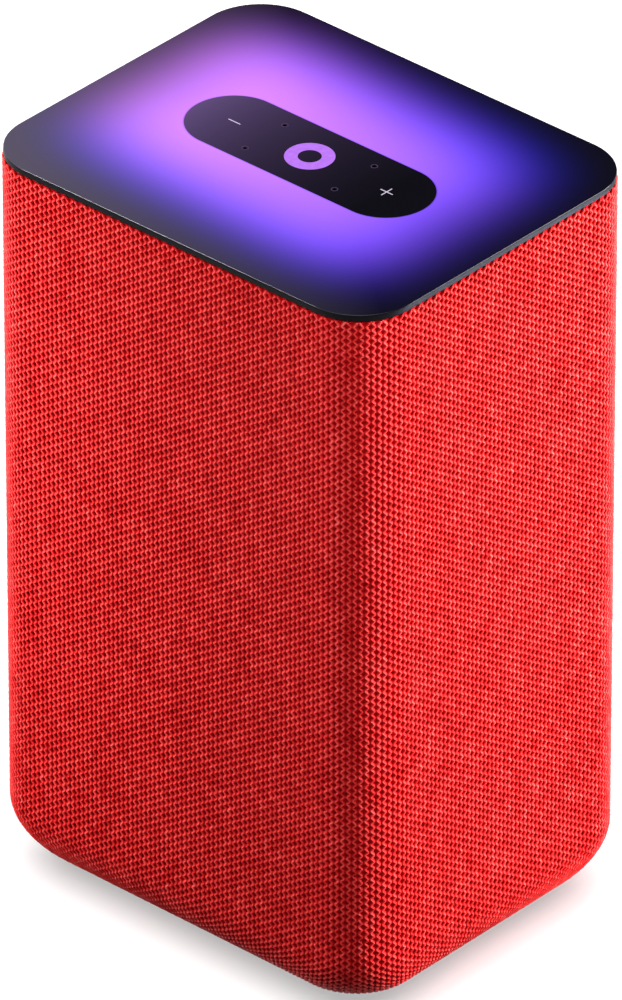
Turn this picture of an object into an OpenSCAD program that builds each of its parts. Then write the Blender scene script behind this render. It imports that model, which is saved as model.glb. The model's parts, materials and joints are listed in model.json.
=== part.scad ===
// Smart speaker: an upright rounded box with a knitted sleeve and a dark top plate.
// Origin at the centre of the base on the floor, +Z up, +X right, the front faces -Y.

/* [Body] */
// Overall width, side to side
body_w = 117; // [115:1:120]
// Overall depth, front to back
body_d = 94; // [93:1:97]
// Overall height, floor to the top of the plate
body_h = 190; // [189:1:196]
// Radius of the four upright corners
corner_r = 15; // [14.5:0.5:16]
// Radius of the rounded bottom edge
bottom_r = 17.5; // [17:0.5:18]
// How far the rubber foot stands below the sleeve
foot_proud = 0.8; // [0.5:0.1:1]

/* [Skin] */
// Thickness of the knitted sleeve
skin_t = 1.2; // [0.8:0.1:1.3]
// Wall of the plastic cage behind the sleeve
cage_wall = 1.8; // [1.4:0.1:1.8]
// Place, front to back, where the cage's two halves meet
cage_split_y = 30; // [29:0.5:31]

/* [Top plate] */
// Thickness of the plate that shows above the sleeve
plate_t = 1.6; // [1.4:0.1:1.8]
// How far the plate's edge stands inside the sleeve's
plate_inset = 0.3; // [0.2:0.1:0.5]
// Sideways distance of the microphone holes from the middle
mic_x = 13.4; // [12:0.1:15]
// Front-to-back distance of the microphone holes from the middle
mic_y = 6.65; // [6:0.05:7.5]
// Radius of a microphone hole
mic_r = 0.6; // [0.4:0.1:0.8]

/* [Loudspeakers] */
// Height of the woofer's axis
woofer_z = 70; // [68:1:72]
// Height of the tweeters' axes
tweeter_z = 140; // [138:1:142]
// Sideways distance of each tweeter from the middle
tweeter_x = 22; // [20:0.5:22.5]
// Height of the passive radiators' middle
radiator_z = 78; // [76:1:80]

/* [Rear] */
// Height of the power socket
jack_z = 32; // [31:0.5:33]
// Height of the microphone mute button
button_z = 58; // [57:0.5:59]
// Radius of the mute button's cap
button_r = 4; // [3.5:0.1:4.2]
// Radius of the power socket's centre pin
jack_pin_r = 1; // [0.8:0.05:1.2]

/* [Hidden] */
$fn = 64;

thin = 0.01;          // sliver that keeps two faces from falling on one plane
past = 1;             // how far a cut runs past the face it opens
corner_steps = 8;     // facets of an upright corner of the body
bottom_steps = 8;     // facets up the rounded bottom edge

// Sleeve and cage
skin_low = foot_proud;
plate_low = body_h - plate_t;
skin_top = plate_low - 0.1;
cage_top = plate_low - 0.2;
cage_out = skin_t + 0.1;
cage_in = cage_out + cage_wall;
inner_w = body_w - 2 * cage_in;
inner_d = body_d - 2 * cage_in;
inner_r = corner_r - cage_in;

// Pieces that slide into the cage from above
insert_gap = 0.3;
insert_w = inner_w - 2 * insert_gap;
insert_d = inner_d - 2 * insert_gap;
insert_r = inner_r - insert_gap;

// Base opening and foot
base_w = body_w - 2 * bottom_r;
base_d = body_d - 2 * bottom_r;
base_r = 10;
foot_top = 1.6;
base_flange_z = skin_low + cage_in + 0.35;
base_top = 8;

// Sealed speaker box
shell_w = 93;
shell_front = -34.5;
shell_back = 24;
shell_d = shell_back - shell_front;
shell_y = (shell_front + shell_back) / 2;
shell_r = 6;
shell_wall = 2.6;
shell_low = 14;
shell_top = 166;
deck_t = 3;
gasket_t = 0.8;
lid_low = shell_top + gasket_t;
lid_top = 171;
lid_screw_x = 40.2;
lid_screw_y = [-28.2, 17.7];
base_screw_x = 32;
base_screw_y = [-20, 16];

// Light and touch stack under the plate
lip_low = plate_low - 1.8;
frame_wall = 2.8;
stack_w = insert_w - 2 * frame_wall - 0.4;
stack_d = insert_d - 2 * frame_wall - 0.4;
stack_r = insert_r - frame_wall - 0.2;
led_board_low = lid_top + 1.8;
led_board_top = led_board_low + 1.2;
diffuser_low = lip_low - 4.1;
film_t = 0.25;
film_low = lip_low - 0.6;
mask_low = lip_low - 0.3;
mic_spots = [for (sx = [-1, 1], sy = [-1, 1]) [sx * mic_x, sy * mic_y]];

// Rear panel and what it holds
rear_z = (jack_z + button_z) / 2;
rear_w = 20;
rear_h = 50;
rear_gap = 0.2;
panel_front = body_d / 2 - 0.3;
panel_back = inner_d / 2 - 0.05;
flange_back = panel_back - 2.25;
switch_front = 39;
board_y = 27.4;
board_t = 1.6;
board_face = board_y + board_t;
jack_nose_r = 4;
jack_bore_r = 3;
jack_front = 44.5;
jack_floor = 33.5;
jack_pin_tip = 42.4;

// Screws, as [shank radius, shank length, head radius, head height]
base_screw = [1.5, 15, 2.75, 2.2];
lid_screw = [1.5, 12, 2.75, 2];
small_screw = [1.2, 8, 2.2, 1.6];
fit_gap = 0.05;

// Woofer, along its own axis with 0 at the box's front face
woofer_flange_r = 39.5;
woofer_hole_r = 35;
woofer_screw_r = 37;
coil_r = 12.6;
pole_r = 11.7;
magnet_front = -26;
magnet_back = -38;

// Tweeter, on its own axis in the same way
tweeter_flange_r = 16.5;
tweeter_cup_r = 12;
tweeter_screw_r = 14;
dome_r = 9.8;

// Passive radiator: a long oval, across and up
radiator_w = 46;
radiator_h = 98;
radiator_hole_w = 39;
radiator_cone_w = 31;
radiator_run = radiator_h - radiator_w;
radiator_screws = [for (sx = [-1, 1], sy = [-1, 1]) [sx * 18.5, sy * 44.5]];

// Boards
main_board_w = 84;
main_board_low = 62.5;
main_board_top = 150;
power_board_low = 17.2;
power_board_top = 61;
ribbon_y = 34;
ribbon_w = 14;
main_screws = [for (sx = [-1, 1], z = [67, 145]) [sx * 37, z]];
power_screws = [for (sx = [-1, 1], z = [22, 56]) [sx * 37, z]];

// ---------- shared shapes ----------

// Rectangle with true round corners, centred
module rounded_rect(w, d, r) {
    square([w - 2 * r, d], center = true);
    square([w, d - 2 * r], center = true);
    for (sx = [-1, 1], sy = [-1, 1])
        translate([sx * (w / 2 - r), sy * (d / 2 - r)]) circle(r);
}

// Oval with straight sides and round ends, tall along Y
module oval(w, h) {
    square([w, h - w], center = true);
    for (s = [-1, 1]) translate([0, s * (h - w) / 2]) circle(d = w);
}

// Flat slab with round corners between two heights
module slab(w, d, r, low, high) {
    translate([0, 0, low]) linear_extrude(high - low) rounded_rect(w, d, r);
}

// Ring of constant wall between two heights
module slab_ring(w, d, r, wall, low, high) {
    difference() {
        slab(w, d, r, low, high);
        slab(w - 2 * wall, d - 2 * wall, r - wall, low - past, high + past);
    }
}

// Points of a round-cornered rectangle at one height, anticlockwise from the right
function outline(w, d, r, z) = [
    for (c = [[1, 1, 0], [-1, 1, 90], [-1, -1, 180], [1, -1, 270]], i = [0 : corner_steps])
        let (a = c[2] + 90 * i / corner_steps)
            [c[0] * (w / 2 - r) + r * cos(a), c[1] * (d / 2 - r) + r * sin(a), z]
];

// The body's outline at an angle round the bottom edge, drawn in by shrink
function body_outline(shrink, a) =
    let (reach = (bottom_r - shrink) * sin(a), low = (bottom_r - shrink) * cos(a))
        outline(
            body_w - 2 * bottom_r + 2 * reach, body_d - 2 * bottom_r + 2 * reach,
            corner_r - shrink * sin(a), skin_low + bottom_r - low
        );

// Closed solid through a stack of outlines with the same number of points
module loft(rings) {
    n = len(rings[0]);
    last = (len(rings) - 1) * n;
    polyhedron(
        points = [for (ring = rings, p = ring) p],
        faces = concat(
            [[for (i = [0 : n - 1]) i]],
            [[for (i = [n - 1 : -1 : 0]) last + i]],
            [for (k = [0 : len(rings) - 2], i = [0 : n - 1])
                let (a = k * n + i, b = k * n + (i + 1) % n) each [[a, a + n, b], [b, a + n, b + n]]]
        )
    );
}

// The body's outer form drawn in by shrink, with its bottom edge rounded
module body_form(shrink, top) {
    loft(concat(
        [for (i = [0 : bottom_steps]) body_outline(shrink, 90 * i / bottom_steps)],
        [outline(body_w - 2 * shrink, body_d - 2 * shrink, corner_r - shrink, top)]
    ));
}

// A shell of the body's form between two depths, open at the top and in the base
module body_shell(outer, inner, top, opening) {
    difference() {
        body_form(outer, top);
        body_form(inner, top + past);
        slab(base_w + opening, base_d + opening, base_r, 0, base_flange_z + past);
        rear_cut(rear_gap);
    }
}

// Hole for the rear panel through the sleeve and the cage
module rear_cut(gap) {
    at_rear(0, rear_z, inner_d / 2 - past)
        linear_extrude(cage_in + 2 * past) oval(rear_w + 2 * gap, rear_h + 2 * gap);
}

// Own +Z points out of the front, at a place across and up
module at_front(x, z) {
    translate([x, shell_front, z]) rotate([90, 0, 0]) children();
}

// Own +Z points out of the back, starting at y
module at_rear(x, z, y) {
    translate([x, y, z]) rotate([90, 0, 180]) children();
}

// Own +Z points out of one side of the sealed box: side is 1 for right and -1 for left
module at_side(side) {
    mirror([side < 0 ? 1 : 0, 0, 0])
        translate([shell_w / 2, shell_y, radiator_z]) rotate([90, 0, 90]) children();
}

// Screw with its head's underside at 0, shank along -Z and a crossed recess
module screw(s) {
    translate([0, 0, -s[1]]) cylinder(r = s[0], h = s[1]);
    difference() {
        cylinder(r = s[2], h = s[3]);
        for (a = [0, 90]) rotate(a)
            translate([0, 0, s[3]]) cube([s[2] * 1.2, s[0] * 0.5, s[3]], center = true);
    }
}

// Round hole along Z, centred on the origin
module drill(r, depth) {
    cylinder(r = r, h = depth, center = true);
}

// ---------- outside ----------

module rubber_foot() color("#1c1c1e") difference() {
    slab(base_w - 2, base_d - 2, base_r - 1, 0, foot_top);
    slab(base_w - 22, base_d - 22, base_r - 4, -past, 0.6);
}

module base_cover() color("#202024") difference() {
    union() {
        slab(base_w - 0.4, base_d - 0.4, base_r - 0.2, foot_top, base_top);
        slab(base_w + 2.6, base_d + 2.6, base_r + 1.3, base_flange_z, base_top);
        for (x = [-1, 1] * base_screw_x, y = base_screw_y)
            translate([x, y, base_top]) cylinder(r = 4.5, h = shell_low - base_top);
    }
    for (x = [-1, 1] * base_screw_x, y = base_screw_y) translate([x, y, foot_top]) {
        drill(base_screw[2] + 0.3, 5.2);
        drill(base_screw[0] + 0.2, 2 * shell_low);
    }
}

module base_screws() color("#8c8c90")
    for (x = [-1, 1] * base_screw_x, y = base_screw_y)
        translate([x, y, foot_top + 2.6]) mirror([0, 0, 1]) screw(base_screw);

module fabric_sleeve() color("#d8202a") body_shell(0, skin_t, skin_top, 1);

// Rows of upright sound slots, as cuts through a wall that faces -Y
module sound_slots(width) {
    slot = [2.6, 10, 31];
    for (x = [-width / 2 : 5.2 : width / 2], z = [26 : 35.5 : 150])
        translate([x - slot[0] / 2, -slot[1] / 2, z]) cube(slot);
}

module cage() {
    difference() {
        body_shell(cage_out, cage_in, cage_top, 0.6);
        translate([0, -inner_d / 2, 0]) sound_slots(78);
        for (s = [-1, 1]) translate([s * inner_w / 2, -4, 0]) rotate(90) sound_slots(47);
    }
}

module front_cage() color("#26262a") difference() {
    cage();
    translate([-body_w, cage_split_y - 0.05, -past]) cube([2 * body_w, body_d, body_h + 2 * past]);
}

module rear_cage() color("#26262a") difference() {
    body_shell(cage_out, cage_in, cage_top, 0.6);
    translate([-body_w, cage_split_y + 0.05 - body_d, -past])
        cube([2 * body_w, body_d, body_h + 2 * past]);
}

module rear_panel() color("#1d1d20") difference() {
    union() {
        at_rear(0, rear_z, flange_back)
            linear_extrude(panel_back - flange_back) oval(rear_w + 4, rear_h + 4);
        at_rear(0, rear_z, panel_back)
            linear_extrude(panel_front - panel_back) oval(rear_w, rear_h);
        for (s = [-1, 1]) at_rear(s * 8.5, button_z, switch_front - 3.4)
            cylinder(r = 1.5, h = flange_back - switch_front + 3.4);
    }
    at_rear(0, button_z, body_d / 2) drill(button_r + 0.25, 20);
    at_rear(0, button_z, body_d / 2) drill(button_r + 1.6, 2.2);
    at_rear(0, jack_z, body_d / 2) drill(jack_nose_r + 0.2, 20);
    at_rear(0, jack_z, body_d / 2) drill(7, 4.6);
}

module mute_button() color("#2c2c30") difference() {
    union() {
        at_rear(0, button_z, flange_back - 1.15) cylinder(r = button_r + 1.2, h = 1);
        at_rear(0, button_z, flange_back - 0.15)
            cylinder(r = button_r, h = body_d / 2 - flange_back - 0.15);
    }
    at_rear(0, button_z, body_d / 2) translate([0, 0, 8.5]) sphere(r = 9);
}

module mute_plunger() color("#c9c3b4")
    at_rear(0, button_z, switch_front - 0.8)
        cylinder(r = 1.2, h = flange_back - 1.15 - switch_front + 0.8);

module mute_switch() color("#3a3a3e") difference() {
    translate([-3.1, switch_front - 3.4, button_z - 3.1]) cube([6.2, 3.4, 6.2]);
    at_rear(0, button_z, switch_front) drill(1.35, 4);
}

module button_board() color("#1f5b36")
    translate([-10.5, switch_front - 4.6, button_z - 7]) cube([21, 1.2, 14]);

module dc_jack() color("#141416") difference() {
    union() {
        translate([-4.5, board_face, jack_z - 5.5]) cube([9, 12.5, 11]);
        at_rear(0, jack_z, board_face + 12.5)
            cylinder(r = jack_nose_r, h = jack_front - board_face - 12.5);
    }
    at_rear(0, jack_z, jack_floor) cylinder(r = jack_bore_r, h = jack_front);
    at_rear(0, jack_z, jack_floor) drill(jack_pin_r + 0.6, 4);
}

module dc_pin() color("#c8a04a") {
    at_rear(0, jack_z, jack_floor - 2) cylinder(r = jack_pin_r + 0.6, h = 2);
    at_rear(0, jack_z, jack_floor) cylinder(r = jack_pin_r, h = jack_pin_tip - jack_floor);
}

// ---------- top ----------

module top_plate() color("#16131c") difference() {
    union() {
        slab(
            body_w - 2 * plate_inset, body_d - 2 * plate_inset, corner_r - plate_inset,
            plate_low, body_h
        );
        slab(insert_w, insert_d, insert_r, lip_low, plate_low);
    }
    for (p = mic_spots) translate([p[0], p[1], body_h]) {
        drill(mic_r, 3 * (body_h - lip_low));
        translate([0, 0, -0.3]) cylinder(r1 = mic_r, r2 = mic_r + 0.3, h = 0.3 + thin);
    }
}

// Thin sheet of the light stack with a hole under each microphone port
module pierced_sheet(w, d, r, low, thick, hole_r) {
    difference() {
        slab(w, d, r, low, low + thick);
        for (p = mic_spots) translate([p[0], p[1], low]) drill(hole_r, 4 * thick);
    }
}

module light_mask() color("#0d0d10") pierced_sheet(insert_w, insert_d, insert_r, mask_low, film_t, 1);

module touch_film() color("#9a7a3a") pierced_sheet(insert_w, insert_d, insert_r, film_low, film_t, 1);

module diffuser() color("#f2f2ef") pierced_sheet(stack_w, stack_d, stack_r, diffuser_low, 2, 2.4);

module light_tray() color("#e8e8e6") difference() {
    slab(stack_w, stack_d, stack_r, lid_top, diffuser_low);
    slab(stack_w - 2.4, stack_d - 2.4, stack_r - 1.2, led_board_low, diffuser_low + past);
    ribbon_way(lid_top);
}

// Way for the ribbon cable through a floor near height z
module ribbon_way(z) {
    translate([-ribbon_w / 2 - 1, ribbon_y - 1.5, z - 5]) cube([ribbon_w + 2, 4, 10]);
}

module led_board() color("#f4f4f2")
    slab(stack_w - 3, stack_d - 3, stack_r - 1.5, led_board_low, led_board_top);

module leds() color("#fff6d8")
    for (x = [-42 : 14 : 42], y = [-30, -12, 12, 30])
        translate([x - 1.5, y - 1.5, led_board_top]) cube([3, 3, 0.8]);

module microphones() color("#c9c9cd")
    for (p = mic_spots)
        translate([p[0] - 1.75, p[1] - 1.35, led_board_top]) cube([3.5, 2.7, 1]);

module mic_gaskets() color("#2a2a2c")
    for (p = mic_spots) translate([p[0], p[1], led_board_top + 1.05]) difference() {
        cylinder(r = 2, h = film_low - led_board_top - 1.15);
        drill(0.7, 4 * body_h);
    }

module top_frame() color("#1a1a1d")
    slab_ring(insert_w, insert_d, insert_r, frame_wall, lid_top, film_low - 0.05);

module ribbon_cable() color("#d9d4c4")
    translate([-ribbon_w / 2, 0, 0]) rotate([90, 0, 90]) linear_extrude(ribbon_w)
        polygon([
            [board_face + 2, 147], [board_face + 2, 152], [ribbon_y, 157],
            [ribbon_y, led_board_low - 0.05], [ribbon_y + 0.3, led_board_low - 0.05],
            [ribbon_y + 0.3, 156.9], [board_face + 2.3, 151.9], [board_face + 2.3, 147]
        ]);

// ---------- sealed box ----------

module enclosure_shell() color("#2f2f34") difference() {
    union() {
        translate([0, shell_y, 0]) difference() {
            slab(shell_w, shell_d, shell_r, shell_low, shell_top);
            slab(
                shell_w - 2 * shell_wall, shell_d - 2 * shell_wall, shell_r - shell_wall,
                shell_low + deck_t, shell_top + past
            );
        }
        // decks that brace the box against the cage
        deck(shell_low, insert_w - 2, insert_d - 2);
        deck(shell_top - deck_t, insert_w, insert_d);
        for (x = [-1, 1] * lid_screw_x, y = lid_screw_y)
            translate([x, y, shell_top - 15]) cylinder(r = 4, h = 15);
        for (x = [-1, 1] * base_screw_x, y = base_screw_y)
            translate([x, y, shell_low]) cylinder(r = 4, h = 8);
    }
    at_front(0, woofer_z) drill(woofer_hole_r, 3 * shell_wall);
    at_front(0, woofer_z) screw_ring(woofer_screw_r, 4, 45)
        drill(small_screw[0] + fit_gap, 3 * shell_wall);
    for (s = [-1, 1]) {
        at_front(s * tweeter_x, tweeter_z) drill(tweeter_cup_r + 0.3, 3 * shell_wall);
        at_front(s * tweeter_x, tweeter_z) screw_ring(tweeter_screw_r, 2, 90)
            drill(small_screw[0] + fit_gap, 3 * shell_wall);
        at_side(s) translate([0, 0, -2 * shell_wall]) linear_extrude(3 * shell_wall)
            oval(radiator_hole_w, radiator_hole_w + radiator_run);
        at_side(s) for (p = radiator_screws) translate(p)
            drill(small_screw[0] + fit_gap, 3 * shell_wall);
    }
    for (x = [-1, 1] * lid_screw_x, y = lid_screw_y)
        translate([x, y, shell_top]) drill(lid_screw[0] + fit_gap, 26);
    for (x = [-1, 1] * base_screw_x, y = base_screw_y)
        translate([x, y, shell_low]) drill(base_screw[0] + fit_gap, 15);
    ribbon_way(shell_top);
    for (x = [-4, 4]) translate([x, shell_back, 112]) rotate([90, 0, 0]) drill(0.85, 20);
}

// Ring-shaped deck between the box and the cage
module deck(low, w, d) {
    difference() {
        slab(w, d, insert_r - 0.6, low, low + deck_t);
        translate([0, shell_y, 0])
            slab(shell_w - 1, shell_d - 1, shell_r, low - past, low + deck_t + past);
    }
}

// Children repeated round their own axis
module screw_ring(r, count, first) {
    for (i = [0 : count - 1]) rotate(first + 360 * i / count) translate([r, 0, 0]) children();
}

module enclosure_gasket() color("#3b3b3d") translate([0, shell_y, 0])
    slab_ring(shell_w, shell_d, shell_r, shell_wall, shell_top, lid_low);

module enclosure_lid() color("#2b2b30") difference() {
    slab(insert_w, insert_d, insert_r, lid_low, lid_top);
    for (x = [-1, 1] * lid_screw_x, y = lid_screw_y) translate([x, y, lid_top]) {
        drill(lid_screw[2] + 0.3, 4.6);
        drill(lid_screw[0] + 0.2, 20);
    }
    ribbon_way(lid_top);
}

module lid_screws() color("#8c8c90")
    for (x = [-1, 1] * lid_screw_x, y = lid_screw_y)
        translate([x, y, lid_top - 2.3]) screw(lid_screw);

module damping_foam() color("#4a4c50")
    translate([-34, 2, 118]) cube([68, shell_back - shell_wall - 2, 40]);

module woofer_leads() color("#b01818")
    for (x = [-4, 4]) translate([x, 0, 112]) {
        translate([0, -14, 0]) rotate([-90, 0, 0]) cylinder(r = 0.8, h = shell_back + 14);
        translate([0, -14, 0]) sphere(r = 0.8);
        translate([0, -14, -14]) cylinder(r = 0.8, h = 14);
    }

// ---------- woofer ----------

module woofer_basket() color("#39393d") at_front(0, woofer_z) difference() {
    rotate_extrude() polygon([
        [33, 2], [woofer_flange_r, 2], [woofer_flange_r, 0], [34.6, 0], [24.6, -17.5],
        [24.6, -22], [14, -22], [14, -20.6], [21.6, -20.6], [21.6, -16.4], [23.2, -16.4],
        [33, 0.4]
    ]);
    // four windows in the sloping wall
    for (a = [0 : 90 : 270]) rotate(a) translate([22, -12, -15]) cube([20, 24, 11]);
    screw_ring(woofer_screw_r, 4, 45) drill(small_screw[0] + 0.1, 10);
}

module woofer_pole_plate() color("#9a9a9e") at_front(0, woofer_z)
    translate([0, 0, magnet_front]) difference() {
        cylinder(r = 26, h = 4);
        drill(coil_r + 0.5, 20);
    }

module woofer_magnet() color("#4b4b4f") at_front(0, woofer_z)
    translate([0, 0, magnet_back]) difference() {
        cylinder(r = 27, h = magnet_front - magnet_back);
        drill(16, 40);
    }

module woofer_yoke() color("#a6a6aa") at_front(0, woofer_z) {
    translate([0, 0, magnet_back - 5]) cylinder(r = 26, h = 5);
    translate([0, 0, magnet_back]) cylinder(r = pole_r, h = 16);
}

module woofer_cone() color("#2a2a2c") at_front(0, woofer_z) rotate_extrude() polygon([
    [coil_r + fit_gap, -12.4], [26.8, 1.4], [28, 1.4], [28, 2], [26.5, 2], [coil_r + fit_gap, -11.6]
]);

// Thin domed cap on a flat base ring at 0
module dome_cap(base_r, ball_r, wall) {
    drop = sqrt(ball_r * ball_r - base_r * base_r);
    rotate_extrude() intersection() {
        translate([0, -drop]) difference() {
            circle(ball_r);
            circle(ball_r - wall);
        }
        square([ball_r, ball_r]);
    }
}

module woofer_dust_cap() color("#323236") at_front(0, woofer_z)
    translate([0, 0, -10.5]) dome_cap(coil_r, 16, 0.5);

module woofer_coil() color("#b06a34") at_front(0, woofer_z) translate([0, 0, -31]) difference() {
    cylinder(r = coil_r, h = 20.5);
    drill(coil_r - 0.4, 80);
}

// Half-round roll of a soft edge, with a flat lip on both sides, in the X-Z plane
module roll_profile(middle, roll_r, wall, lip) {
    intersection() {
        translate([middle, 0]) difference() {
            circle(roll_r);
            circle(roll_r - wall);
        }
        translate([middle - roll_r, 0]) square([2 * roll_r, roll_r]);
    }
    translate([middle - roll_r - lip, 0]) square([lip + wall / 2, wall]);
    translate([middle + roll_r - wall / 2, 0]) square([lip + wall / 2, wall]);
}

module woofer_surround() color("#1d1d1f") at_front(0, woofer_z)
    translate([0, 0, 2]) rotate_extrude() roll_profile(30.75, 3, 0.5, 0.9);

spider_in = coil_r;
spider_out = 23;
spider_waves = 3;
spider_flat = 0.8;    // share of its width where the waves end and the glued rim starts
spider_line = [for (i = [0 : 36]) let (t = i / 36, wave = min(t / spider_flat, 1))
    [spider_in + t * (spider_out - spider_in),
        0.9 * sin(360 * spider_waves * wave) * sin(180 * wave)]];

module woofer_spider() color("#c79a4b") at_front(0, woofer_z) translate([0, 0, -16.4])
    rotate_extrude() polygon(concat(
        [for (p = spider_line) [p[0], p[1] + 0.4]],
        [for (i = [36 : -1 : 0]) spider_line[i]]
    ));

// Every driver and radiator is held by the same small screw
module driver_screws() color("#8c8c90") {
    at_front(0, woofer_z) screw_ring(woofer_screw_r, 4, 45) translate([0, 0, 2]) screw(small_screw);
    for (s = [-1, 1]) {
        at_front(s * tweeter_x, tweeter_z) screw_ring(tweeter_screw_r, 2, 90)
            translate([0, 0, 1.8]) screw(small_screw);
        at_side(s) for (p = radiator_screws) translate([p[0], p[1], 2]) screw(small_screw);
    }
}

// ---------- tweeters ----------

module tweeter_frame(side) color("#3a3a3e") at_front(side * tweeter_x, tweeter_z) difference() {
    union() {
        cylinder(r = tweeter_flange_r, h = 1.8);
        translate([0, 0, -13]) cylinder(r = tweeter_cup_r, h = 13);
    }
    translate([0, 0, -12]) cylinder(r = tweeter_cup_r - 1.2, h = 20);
    screw_ring(tweeter_screw_r, 2, 90) drill(small_screw[0] + 0.1, 10);
}

module tweeter_magnet(side) color("#8f8f94") at_front(side * tweeter_x, tweeter_z)
    translate([0, 0, -12]) cylinder(r = dome_r - 1, h = 11);

// Soft dome with its voice coil
module tweeter_dome(side) color("#26262a") at_front(side * tweeter_x, tweeter_z) {
    translate([0, 0, 0.6]) dome_cap(dome_r, 12.5, 0.3);
    translate([0, 0, -3]) difference() {
        cylinder(r = dome_r, h = 3.6);
        drill(dome_r - 0.3, 20);
    }
}

module tweeter_left_frame() tweeter_frame(-1);
module tweeter_left_dome() tweeter_dome(-1);
module tweeter_left_magnet() tweeter_magnet(-1);
module tweeter_right_frame() tweeter_frame(1);
module tweeter_right_dome() tweeter_dome(1);
module tweeter_right_magnet() tweeter_magnet(1);

// ---------- passive radiators ----------

module radiator_frame(side) color("#38383c") at_side(side) difference() {
    linear_extrude(2) difference() {
        rounded_rect(radiator_w, radiator_h, 6);
        oval(radiator_hole_w, radiator_hole_w + radiator_run);
    }
    for (p = radiator_screws) translate(p) drill(small_screw[0] + 0.1, 10);
}

module radiator_surround(side) color("#1b1b1d") at_side(side) translate([0, 0, 2]) {
    for (s = [-1, 1]) {
        rotate([90, 0, 0]) linear_extrude(radiator_run, center = true)
            mirror([s < 0 ? 1 : 0, 0]) roll_profile(17.5, 2, 0.4, 0.9);
        translate([0, s * radiator_run / 2, 0]) rotate(s < 0 ? 180 : 0)
            rotate_extrude(angle = 180) roll_profile(17.5, 2, 0.4, 0.9);
    }
}

module radiator_cone(side) color("#2b2b2e") at_side(side) {
    translate([0, 0, 0.8]) linear_extrude(1.2) oval(radiator_cone_w, radiator_cone_w + radiator_run);
    translate([0, 0, -3]) linear_extrude(3.8) oval(20, 72);
}

module radiator_left_frame() radiator_frame(-1);
module radiator_left_surround() radiator_surround(-1);
module radiator_left_cone() radiator_cone(-1);
module radiator_right_frame() radiator_frame(1);
module radiator_right_surround() radiator_surround(1);
module radiator_right_cone() radiator_cone(1);

// ---------- electronics, behind the sealed box ----------

// Upright circuit board across the back, drilled at its screws
module board(low, high, spots) {
    difference() {
        translate([-main_board_w / 2, board_y, low]) cube([main_board_w, board_t, high - low]);
        for (p = spots) at_rear(p[0], p[1], board_y) drill(small_screw[0] + 0.1, 10);
    }
}

module main_board() color("#1f5b36") {
    board(main_board_low, main_board_top, main_screws);
    // ribbon socket and memory chips
    translate([-9, board_face, 143]) cube([18, 3, 4]);
    for (x = [-32, -18]) translate([x, board_face, 116]) cube([11, 1.2, 9]);
    translate([24, board_face, 100]) cube([9, 1.2, 9]);
}

module processor_shield() color("#b9b9bd") difference() {
    translate([-16, board_face, 76]) cube([32, 3, 32]);
    translate([-15.6, board_face - past, 76.4]) cube([31.2, 2.6 + past, 31.2]);
}

module heat_sink() color("#a9abb0") translate([-24, board_face + 3, 74]) {
    cube([48, 2.5, 42]);
    for (i = [0 : 8]) translate([i * 5.8, 0, 0]) cube([1.6, 10, 42]);
}

module power_board() color("#23603a") board(power_board_low, power_board_top, power_screws);

module capacitors() color("#33343c")
    for (p = [[-31, 34], [-20, 34], [20, 34], [31, 34], [-25, 48]])
        at_rear(p[0], p[1], board_face) cylinder(r = 4.5, h = 11);

module standoffs() color("#c8a04a")
    for (p = concat(main_screws, power_screws)) at_rear(p[0], p[1], shell_back) difference() {
        cylinder(r = 2.5, h = board_y - shell_back);
        drill(small_screw[0] + fit_gap, 20);
    }

module board_screws() color("#8c8c90")
    for (p = concat(main_screws, power_screws))
        at_rear(p[0], p[1], board_face) screw([small_screw[0], 4.9, small_screw[2], 1.4]);

module wifi_antennas() color("#274d7a")
    for (s = [-1, 1]) translate([s * 34 - 6, inner_d / 2 - 1.1, 146]) cube([12, 0.8, 14]);

rubber_foot();
base_cover();
base_screws();
fabric_sleeve();
front_cage();
rear_cage();
rear_panel();
mute_button();
mute_plunger();
mute_switch();
button_board();
dc_jack();
dc_pin();
top_plate();
light_mask();
touch_film();
diffuser();
light_tray();
led_board();
leds();
microphones();
mic_gaskets();
top_frame();
ribbon_cable();
enclosure_shell();
enclosure_gasket();
enclosure_lid();
lid_screws();
damping_foam();
woofer_leads();
woofer_basket();
woofer_pole_plate();
woofer_magnet();
woofer_yoke();
woofer_cone();
woofer_dust_cap();
woofer_coil();
woofer_surround();
woofer_spider();
driver_screws();
tweeter_left_frame();
tweeter_left_dome();
tweeter_left_magnet();
tweeter_right_frame();
tweeter_right_dome();
tweeter_right_magnet();
radiator_left_frame();
radiator_left_surround();
radiator_left_cone();
radiator_right_frame();
radiator_right_surround();
radiator_right_cone();
main_board();
processor_shield();
heat_sink();
power_board();
capacitors();
standoffs();
board_screws();
wifi_antennas();
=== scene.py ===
import json
import math

import bmesh
import bpy
import numpy as np
from mathutils import Matrix, Vector

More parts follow.
